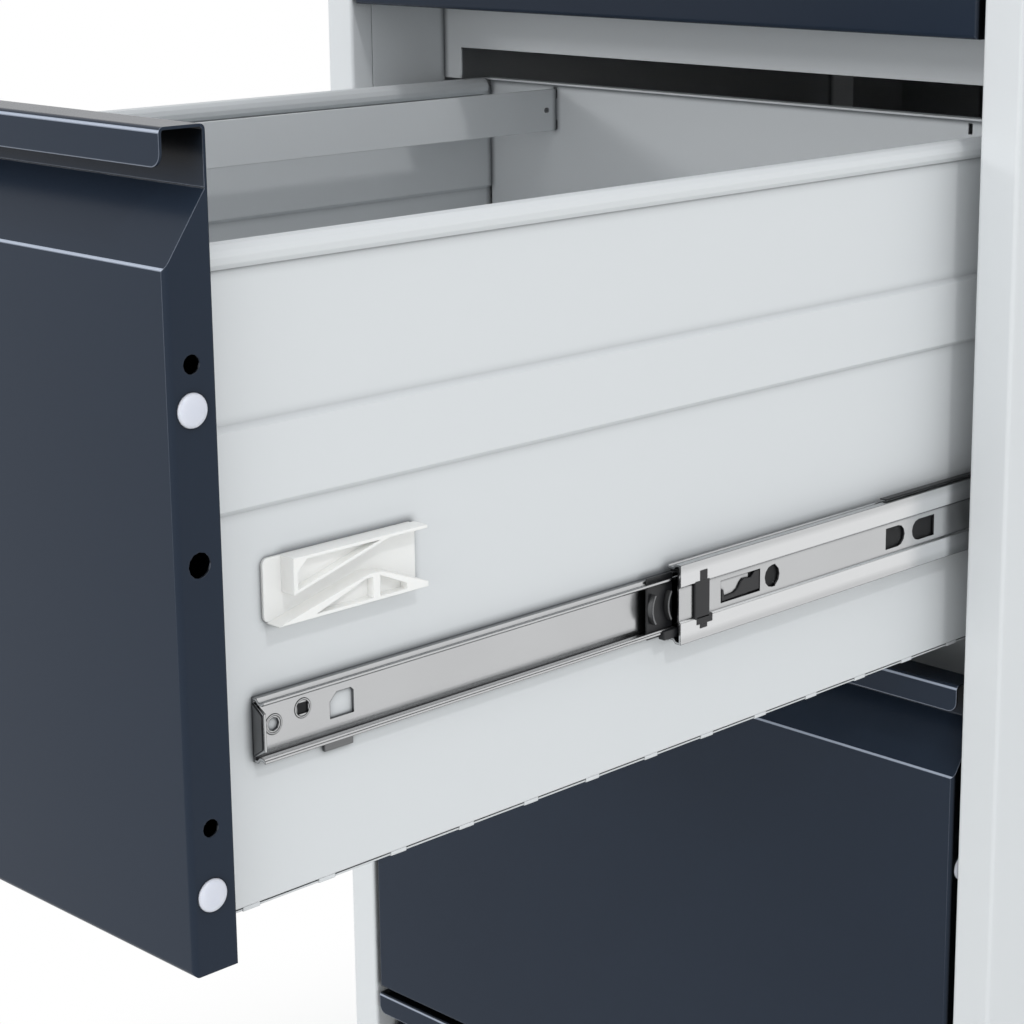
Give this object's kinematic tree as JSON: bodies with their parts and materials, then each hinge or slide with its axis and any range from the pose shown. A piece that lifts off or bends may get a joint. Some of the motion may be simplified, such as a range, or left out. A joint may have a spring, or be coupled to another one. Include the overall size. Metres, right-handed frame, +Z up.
{
  "type": "filing cabinet",
  "caption": "Free-standing filing cabinet with full-width lip-handled drawers on telescopic side slides, file bars inside and a lock bar that works nylon cams.",
  "frame": {"origin": "on the floor, under the middle of the cabinet's carcass", "axes": "+Z up; the fronts face -Y and the drawers open that way; +X is to the right of somebody who stands before the fronts, and the lock is on that side"},
  "size_m": [0.46, 1.0516, 1.322],
  "materials": {
    "carcass_paint": "light grey powder coat, satin",
    "front_paint": "dark blue-grey powder coat, satin",
    "zinc_steel": "bright zinc plating",
    "cage_steel": "dark phosphated",
    "lock_chrome": "polished",
    "white_nylon": "moulded, slightly translucent",
    "foot_plastic": "moulded"
  },
  "bodies": {
    "cabinet": {"side_panel_left": "carcass_paint", "side_panel_right": "carcass_paint", "back_panel": "carcass_paint", "top_panel": "carcass_paint", "base_frame": "carcass_paint", "levelling_feet": "foot_plastic", "uprights": "carcass_paint", "cross_rails": "carcass_paint", "slide_cabinet_members": "zinc_steel"},
    "drawer_1": {"drawer_1_front_panel": "front_paint", "drawer_1_inner_front": "front_paint", "drawer_1_side_left": "carcass_paint", "drawer_1_side_right": "carcass_paint", "drawer_1_bottom": "carcass_paint", "drawer_1_back": "carcass_paint", "drawer_1_file_bar": "carcass_paint", "drawer_1_lock_cam": "white_nylon", "drawer_1_bumpers": "white_nylon", "drawer_1_slide_drawer_members": "zinc_steel"},
    "drawer_1_middle_members": {"drawer_1_slide_middle_members": "zinc_steel"},
    "drawer_1_ball_cages": {"drawer_1_slide_ball_cages": "cage_steel"},
    "drawer_2": {"drawer_2_front_panel": "front_paint", "drawer_2_inner_front": "front_paint", "drawer_2_side_left": "carcass_paint", "drawer_2_side_right": "carcass_paint", "drawer_2_bottom": "carcass_paint", "drawer_2_back": "carcass_paint", "drawer_2_file_bar": "carcass_paint", "drawer_2_lock_cam": "white_nylon", "drawer_2_bumpers": "white_nylon", "drawer_2_slide_drawer_members": "zinc_steel"},
    "drawer_2_middle_members": {"drawer_2_slide_middle_members": "zinc_steel"},
    "drawer_2_ball_cages": {"drawer_2_slide_ball_cages": "cage_steel"},
    "drawer_3": {"drawer_3_front_panel": "front_paint", "drawer_3_inner_front": "front_paint", "drawer_3_side_left": "carcass_paint", "drawer_3_side_right": "carcass_paint", "drawer_3_bottom": "carcass_paint", "drawer_3_back": "carcass_paint", "drawer_3_file_bar": "carcass_paint", "drawer_3_lock_cam": "white_nylon", "drawer_3_bumpers": "white_nylon", "drawer_3_slide_drawer_members": "zinc_steel"},
    "drawer_3_middle_members": {"drawer_3_slide_middle_members": "zinc_steel"},
    "drawer_3_ball_cages": {"drawer_3_slide_ball_cages": "cage_steel"},
    "drawer_4": {"drawer_4_front_panel": "front_paint", "drawer_4_inner_front": "front_paint", "drawer_4_side_left": "carcass_paint", "drawer_4_side_right": "carcass_paint", "drawer_4_bottom": "carcass_paint", "drawer_4_back": "carcass_paint", "drawer_4_file_bar": "carcass_paint", "drawer_4_lock_cam": "white_nylon", "drawer_4_bumpers": "white_nylon", "drawer_4_slide_drawer_members": "zinc_steel"},
    "drawer_4_middle_members": {"drawer_4_slide_middle_members": "zinc_steel"},
    "drawer_4_ball_cages": {"drawer_4_slide_ball_cages": "cage_steel"},
    "lock_bar": {"lock_bar": "zinc_steel", "lock_pins": "zinc_steel"},
    "lock_barrel": {"lock_barrel": "lock_chrome"}
  },
  "joints": [
    {"name": "drawer_1_slide", "type": "slide", "parent": "cabinet", "child": "drawer_1", "axis": [0, -1, 0], "range_m": [0, 0.45]},
    {"name": "drawer_1_middle_members_slide", "type": "slide", "parent": "cabinet", "child": "drawer_1_middle_members", "axis": [0, -1, 0], "range_m": [0, 0.225]},
    {"name": "drawer_1_ball_cages_slide", "type": "slide", "parent": "cabinet", "child": "drawer_1_ball_cages", "axis": [0, -1, 0], "range_m": [0, 0.3375]},
    {"name": "drawer_2_slide", "type": "slide", "parent": "cabinet", "child": "drawer_2", "axis": [0, -1, 0], "range_m": [-0.4316, 0.0184]},
    {"name": "drawer_2_middle_members_slide", "type": "slide", "parent": "cabinet", "child": "drawer_2_middle_members", "axis": [0, -1, 0], "range_m": [-0.2158, 0.0092]},
    {"name": "drawer_2_ball_cages_slide", "type": "slide", "parent": "cabinet", "child": "drawer_2_ball_cages", "axis": [0, -1, 0], "range_m": [-0.3237, 0.0138]},
    {"name": "drawer_3_slide", "type": "slide", "parent": "cabinet", "child": "drawer_3", "axis": [0, -1, 0], "range_m": [0, 0.45]},
    {"name": "drawer_3_middle_members_slide", "type": "slide", "parent": "cabinet", "child": "drawer_3_middle_members", "axis": [0, -1, 0], "range_m": [0, 0.225]},
    {"name": "drawer_3_ball_cages_slide", "type": "slide", "parent": "cabinet", "child": "drawer_3_ball_cages", "axis": [0, -1, 0], "range_m": [0, 0.3375]},
    {"name": "drawer_4_slide", "type": "slide", "parent": "cabinet", "child": "drawer_4", "axis": [0, -1, 0], "range_m": [0, 0.45]},
    {"name": "drawer_4_middle_members_slide", "type": "slide", "parent": "cabinet", "child": "drawer_4_middle_members", "axis": [0, -1, 0], "range_m": [0, 0.225]},
    {"name": "drawer_4_ball_cages_slide", "type": "slide", "parent": "cabinet", "child": "drawer_4_ball_cages", "axis": [0, -1, 0], "range_m": [0, 0.3375]},
    {"name": "lock_barrel_turn", "type": "hinge", "parent": "cabinet", "child": "lock_barrel", "pos_m": [0.193, -0.31, 1.284], "axis": [0, 1, 0], "range_deg": [0, 90]},
    {"name": "lock_bar_lift", "type": "slide", "parent": "cabinet", "child": "lock_bar", "axis": [0, 0, 1], "range_m": [0, 0.015]}
  ],
  "couplings": [
    {"joint": "drawer_1_middle_members_slide", "follows": "drawer_1_slide", "ratio": 0.5},
    {"joint": "drawer_1_ball_cages_slide", "follows": "drawer_1_slide", "ratio": 0.75},
    {"joint": "drawer_2_middle_members_slide", "follows": "drawer_2_slide", "ratio": 0.5},
    {"joint": "drawer_2_ball_cages_slide", "follows": "drawer_2_slide", "ratio": 0.75},
    {"joint": "drawer_3_middle_members_slide", "follows": "drawer_3_slide", "ratio": 0.5},
    {"joint": "drawer_3_ball_cages_slide", "follows": "drawer_3_slide", "ratio": 0.75},
    {"joint": "drawer_4_middle_members_slide", "follows": "drawer_4_slide", "ratio": 0.5},
    {"joint": "drawer_4_ball_cages_slide", "follows": "drawer_4_slide", "ratio": 0.75},
    {"joint": "lock_barrel_turn", "follows": "lock_bar_lift", "rad_per_m": 104.72}
  ]
}
